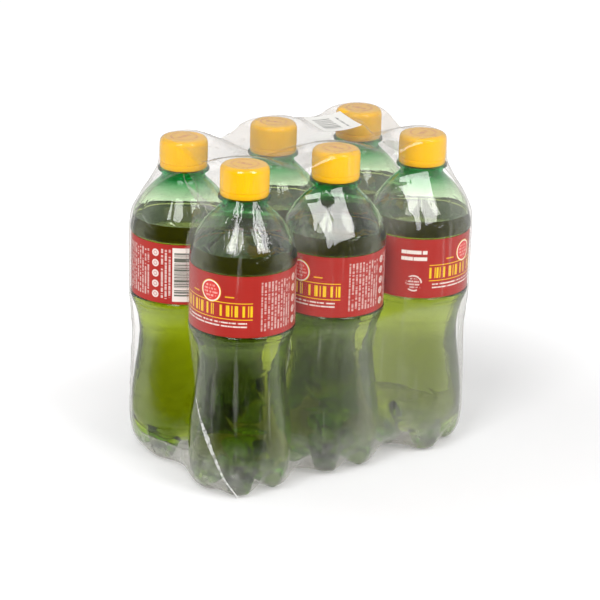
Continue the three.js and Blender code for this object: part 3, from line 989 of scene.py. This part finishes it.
def cut_hand_holes(points, faces):
    """Takes the faces in the two hand holes away and draws their borders onto the holes' curves."""
    outline = curve(HAND_HOLE, 400, closed=True)
    points = points.copy()
    rims = []
    for end in (-1, 1):
        flat = np.column_stack([-end * points[:, 1], points[:, 2]])
        on_end = end * points[:, 0] > 80
        inside = np.zeros(len(points), bool)
        inside[on_end] = inside_curve(flat[on_end], outline)
        kept = [f for f in faces if not all(inside[v] for v in f)]
        taken = {v for f in faces if all(inside[v] for v in f) for v in f}
        border = sorted(taken & {v for f in kept for v in f})
        for v in border:
            nearest = outline[np.argmin(((outline - flat[v]) ** 2).sum(1))]
            points[v, 1:] = -end * nearest[0], nearest[1]
        centre = flat[border].mean(0)
        spread = flat[border] - centre
        order = np.argsort(np.arctan2(spread[:, 1], spread[:, 0]))
        rims.append(points[np.array(border)[order]])
        faces = kept
    return points, faces, rims


def rolled_rim(path, radius):
    """Points and faces of a thin closed tube along a closed path."""
    path = (np.roll(path, 1, 0) + path + np.roll(path, -1, 0)) / 3
    ahead = unit(np.roll(path, -1, 0) - np.roll(path, 1, 0))
    side = unit(np.cross(ahead, (1.0, 0, 0)))
    other = np.cross(ahead, side)
    turn = turns(6)[None, :, None]
    along = np.arange(len(path))
    uneven = radius * (1 + 0.35 * np.sin(along * 0.41) * np.sin(along * 0.13))
    round_path = np.cos(turn) * side[:, None] + np.sin(turn) * other[:, None]
    return skin(path[:, None] + uneven[:, None, None] * round_path, joined=True)


def add_film(look):
    points, faces, rims = cut_hand_holes(*film_sheet())
    film = make_piece("film_sleeve", points, faces, look, "film", 70)
    solid = film.modifiers.new("thickness", "SOLIDIFY")
    solid.thickness = FILM_THICK * MM
    solid.offset = -1
    made = bpy.data.meshes.new_from_object(film.evaluated_get(bpy.context.evaluated_depsgraph_get()))
    film.modifiers.clear()
    film.data = made
    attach(film, "root")
    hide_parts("film")
    for name, rim in zip(("left", "right"), rims):
        edge = make_piece(f"film_rim_{name}", *rolled_rim(rim, 0.42), look, "film", 80)
        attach(edge, "root")


def fold_look():
    """Film gathered in a narrow fold, where it looks white and crinkled."""
    look = Look("film_fold")
    place, _, _, _ = look.here()
    crinkle = look.noise(place, 420, 4, 0.6)
    haze = look.math("MULTIPLY_ADD", look.ramp(crinkle, 0.35, 0.65), 0.5, 0.12)
    clear = look.node("BsdfTransparent", {"Color": (0.98, 0.98, 0.98, 1)}).outputs[0]
    white = look.node("BsdfDiffuse", {"Color": (0.9, 0.9, 0.88, 1)}).outputs[0]
    gloss = look.node(
        "BsdfGlossy", {"Color": (1, 1, 1, 1), "Roughness": 0.12, "Normal": look.bump(crinkle, 0.8, 0.001)}
    ).outputs[0]
    return look.done(look.shaders(0.12, look.shaders(haze, clear, white), gloss))


# Folds of the film, as (x, y, z, width, thickness) along them
FOLDS = {
    "hole_low": [
        (-104.9, -36.0, 66.0, 0.5, 0.3), (-104.8, -40.0, 56.0, 0.9, 0.4), (-104.4, -43.8, 48.5, 2.4, 0.8),
        (-103.4, -47.0, 42.0, 3.6, 1.0), (-102.4, -49.6, 36.0, 2.9, 0.9), (-101.0, -52.6, 29.5, 2.0, 0.7),
        (-99.2, -55.4, 22.5, 1.7, 0.6), (-96.9, -58.4, 15.5, 1.3, 0.5), (-93.4, -61.2, 9.0, 1.0, 0.4),
        (-89.8, -63.0, 3.6, 0.8, 0.4),
    ],
    "neck": [
        (-84.6, 12.0, 196.8, 0.8, 0.2), (-87.2, 6.0, 194.2, 5.6, 0.25), (-89.0, -4.0, 191.0, 6.6, 0.25),
        (-90.4, -16.0, 189.0, 6.6, 0.25), (-91.0, -27.0, 188.0, 4.8, 0.25), (-90.6, -34.0, 187.6, 0.8, 0.2),
    ],
}


def fold_skin(keys):
    """A flat, slightly wavy tube along a curve of keys."""
    keys = np.array(keys)
    at = np.r_[0, np.cumsum(np.linalg.norm(np.diff(keys[:, :3], axis=0), axis=1))]
    want = np.linspace(0, at[-1], 90)
    line = np.column_stack([smooth_through(np.column_stack([at, keys[:, k]]), want) for k in range(5)])
    path, width, thick = line[:, :3], line[:, 3:4], line[:, 4:]
    ahead = unit(np.gradient(path, axis=0))
    out = path - [-AXIS_X, -AXIS_Y, 0]
    out[:, 2] = 0
    out = unit(out - (out * ahead).sum(1)[:, None] * ahead)
    side = np.cross(ahead, out)
    uneven = 1 + 0.18 * np.sin(want * 1.9) * np.sin(want * 0.7 + 1)
    turn = turns(16)[None, :, None]
    ridge = 1 + 0.5 * np.cos(3 * turn + 0.12 * want[:, None, None])
    rings = path[:, None] + side[:, None] * (np.cos(turn) * (width * uneven[:, None])[:, None] / 2)
    rings = rings + out[:, None] * (np.sin(turn) * ridge * thick[:, None] / 2)
    return skin(rings, path[0], path[-1])


def add_folds():
    looks = {"hole_low": fold_look(), "neck": film_look("film_band", 0.13)}
    for name, keys in FOLDS.items():
        points, faces = fold_skin(keys)
        for end, way in (("left", 1), ("right", -1)):
            turned_points = points * [way, way, 1]
            fold = make_piece(f"film_fold_{name}_{end}", turned_points, faces, looks[name], "film", 80)
            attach(fold, "root")


def add_sticker():
    half_length, half_width = STICKER["length"] / 2, STICKER["width"] / 2
    xs = np.linspace(-half_length, half_length, 39)
    ys = np.linspace(-half_width, half_width, 28)
    gx, gy = np.meshgrid(xs, ys, indexing="ij")
    low = STICKER_TOP + sticker_lift(gx, gy)
    points = np.concatenate([np.stack([gx, gy, low + up], -1).reshape(-1, 3) for up in (0, STICKER_THICK)])
    rows, columns = gx.shape
    upper = grid_faces(rows, columns) + gx.size
    lower = grid_faces(rows, columns)[:, [0, 3, 2, 1]]
    last = (rows - 1) * columns
    edge = [*range(0, last, columns), *range(last, last + columns - 1)]
    edge += [*range(last + columns - 1, columns - 1, -columns), *range(columns - 1, 0, -1)]
    rim = [[a, b, b + gx.size, a + gx.size] for a, b in zip(edge, edge[1:] + edge[:1])]
    faces = [*upper.tolist(), *lower.tolist(), *rim]
    sticker = make_piece("sticker_paper", points, faces, sticker_look(), "sticker")
    sticker.location = (STICKER["x"] * MM, STICKER["y"] * MM, 0)
    sticker.rotation_euler = (0, 0, math.radians(STICKER["turn"]))
    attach(sticker, "root")
    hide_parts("sticker")


set_camera()
set_world()
set_render()
add_floor()
for name, azimuth in (("key", -148), ("fill", -81)):
    add_light(name, azimuth, elevation=43, distance=1.5, size=(0.5, 1.15), power=11)
add_bottles()
add_film(film_look())
add_folds()
add_sticker()
